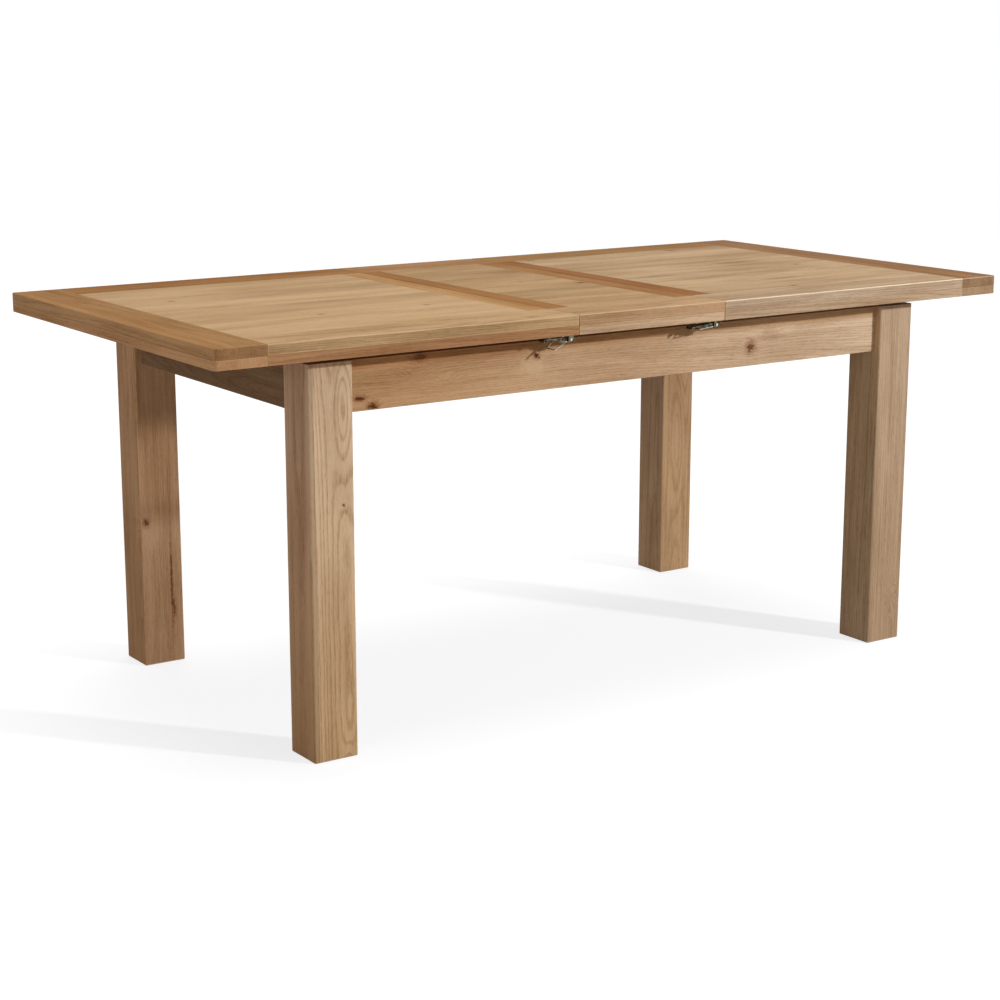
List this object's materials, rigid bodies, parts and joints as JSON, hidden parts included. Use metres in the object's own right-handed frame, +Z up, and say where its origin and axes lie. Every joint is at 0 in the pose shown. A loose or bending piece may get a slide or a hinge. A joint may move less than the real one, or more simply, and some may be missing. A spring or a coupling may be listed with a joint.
{
  "type": "extending dining table",
  "caption": "Rectangular wooden dining table on square legs, its top parted into two sliding halves with a loose extension leaf between them and wire catches underneath.",
  "frame": {"origin": "on the floor under the middle of the table, with the leaf in place", "axes": "+X along the table to the right-hand end, +Y to the rear long side, +Z up"},
  "size_m": [1.85, 0.9, 0.78],
  "materials": {
    "oak_top": "oiled oak with open grain and small knots, satin",
    "oak_edging": "oiled oak, satin",
    "oak_frame": "oiled oak with open grain, satin",
    "hardwood_inside": "bare planed hardwood",
    "dark_catch_steel": "dark zinc-plated pressed steel",
    "bright_wire": "bright drawn wire",
    "fastener_steel": "zinc-plated steel"
  },
  "bodies": {
    "frame": {"leg_front_left": "oak_frame", "leg_front_right": "oak_frame", "leg_rear_left": "oak_frame", "leg_rear_right": "oak_frame", "front_apron": "oak_frame", "rear_apron": "oak_frame", "left_apron": "oak_frame", "right_apron": "oak_frame", "corner_blocks": "hardwood_inside", "leg_bolts": "fastener_steel", "leg_washers": "fastener_steel", "leg_nuts": "fastener_steel", "left_bearer": "hardwood_inside", "right_bearer": "hardwood_inside", "front_guide": "hardwood_inside", "rear_guide": "hardwood_inside", "guide_screws": "fastener_steel"},
    "left_top": {"left_end_board": "oak_top", "left_front_rail": "oak_top", "left_rear_rail": "oak_top", "left_cross_strip": "oak_top", "left_panel": "oak_top", "left_end_edging": "oak_edging", "left_long_edgings": "oak_edging", "left_seam_edging": "oak_edging", "left_batten": "hardwood_inside", "left_runners": "hardwood_inside", "left_catch_plates": "dark_catch_steel", "left_top_screws": "fastener_steel"},
    "right_top": {"right_end_board": "oak_top", "right_front_rail": "oak_top", "right_rear_rail": "oak_top", "right_cross_strip": "oak_top", "right_panel": "oak_top", "right_end_edging": "oak_edging", "right_long_edgings": "oak_edging", "right_seam_edging": "oak_edging", "right_batten": "hardwood_inside", "right_runners": "hardwood_inside", "right_keepers": "dark_catch_steel", "right_top_screws": "fastener_steel"},
    "leaf": {"leaf_front_rail": "oak_top", "leaf_rear_rail": "oak_top", "leaf_left_strip": "oak_top", "leaf_right_strip": "oak_top", "leaf_panel": "oak_top", "leaf_long_edgings": "oak_edging", "leaf_seam_edgings": "oak_edging", "leaf_catch_plates": "dark_catch_steel", "leaf_keepers": "dark_catch_steel", "leaf_screws": "fastener_steel"},
    "left_front_catch_lever": {"left_front_catch_lever": "dark_catch_steel"},
    "left_front_catch_bail": {"left_front_catch_bail": "bright_wire"},
    "left_rear_catch_lever": {"left_rear_catch_lever": "dark_catch_steel"},
    "left_rear_catch_bail": {"left_rear_catch_bail": "bright_wire"},
    "leaf_front_catch_lever": {"leaf_front_catch_lever": "dark_catch_steel"},
    "leaf_front_catch_bail": {"leaf_front_catch_bail": "bright_wire"},
    "leaf_rear_catch_lever": {"leaf_rear_catch_lever": "dark_catch_steel"},
    "leaf_rear_catch_bail": {"leaf_rear_catch_bail": "bright_wire"}
  },
  "joints": [
    {"name": "left_top_slide", "type": "slide", "parent": "frame", "child": "left_top", "axis": [-1, 0, 0], "range_m": [0, 0.04]},
    {"name": "right_top_slide", "type": "slide", "parent": "frame", "child": "right_top", "axis": [1, 0, 0], "range_m": [0, 0.04]},
    {"name": "leaf_lift", "type": "slide", "parent": "frame", "child": "leaf", "axis": [0, 0, 1], "range_m": [0, 0.35]},
    {"name": "left_front_lever_hinge", "type": "hinge", "parent": "left_top", "child": "left_front_catch_lever", "pos_m": [-0.1819, -0.421, 0.7325], "axis": [0, -1, 0], "range_deg": [0, 100]},
    {"name": "left_front_bail_hinge", "type": "hinge", "parent": "left_front_catch_lever", "child": "left_front_catch_bail", "pos_m": [-0.1964, -0.421, 0.7325], "axis": [0, -1, 0], "range_deg": [-32, 39]},
    {"name": "left_rear_lever_hinge", "type": "hinge", "parent": "left_top", "child": "left_rear_catch_lever", "pos_m": [-0.1819, 0.421, 0.7325], "axis": [0, -1, 0], "range_deg": [0, 100]},
    {"name": "left_rear_bail_hinge", "type": "hinge", "parent": "left_rear_catch_lever", "child": "left_rear_catch_bail", "pos_m": [-0.1964, 0.421, 0.7325], "axis": [0, -1, 0], "range_deg": [0, 71]},
    {"name": "leaf_front_lever_hinge", "type": "hinge", "parent": "leaf", "child": "leaf_front_catch_lever", "pos_m": [0.1685, -0.421, 0.7325], "axis": [0, -1, 0], "range_deg": [-5, 95]},
    {"name": "leaf_front_bail_hinge", "type": "hinge", "parent": "leaf_front_catch_lever", "child": "leaf_front_catch_bail", "pos_m": [0.15405, -0.421, 0.73124], "axis": [0, -1, 0], "range_deg": [0, 71]},
    {"name": "leaf_rear_lever_hinge", "type": "hinge", "parent": "leaf", "child": "leaf_rear_catch_lever", "pos_m": [0.1685, 0.421, 0.7325], "axis": [0, -1, 0], "range_deg": [0, 100]},
    {"name": "leaf_rear_bail_hinge", "type": "hinge", "parent": "leaf_rear_catch_lever", "child": "leaf_rear_catch_bail", "pos_m": [0.154, 0.421, 0.7325], "axis": [0, -1, 0], "range_deg": [0, 71]}
  ]
}
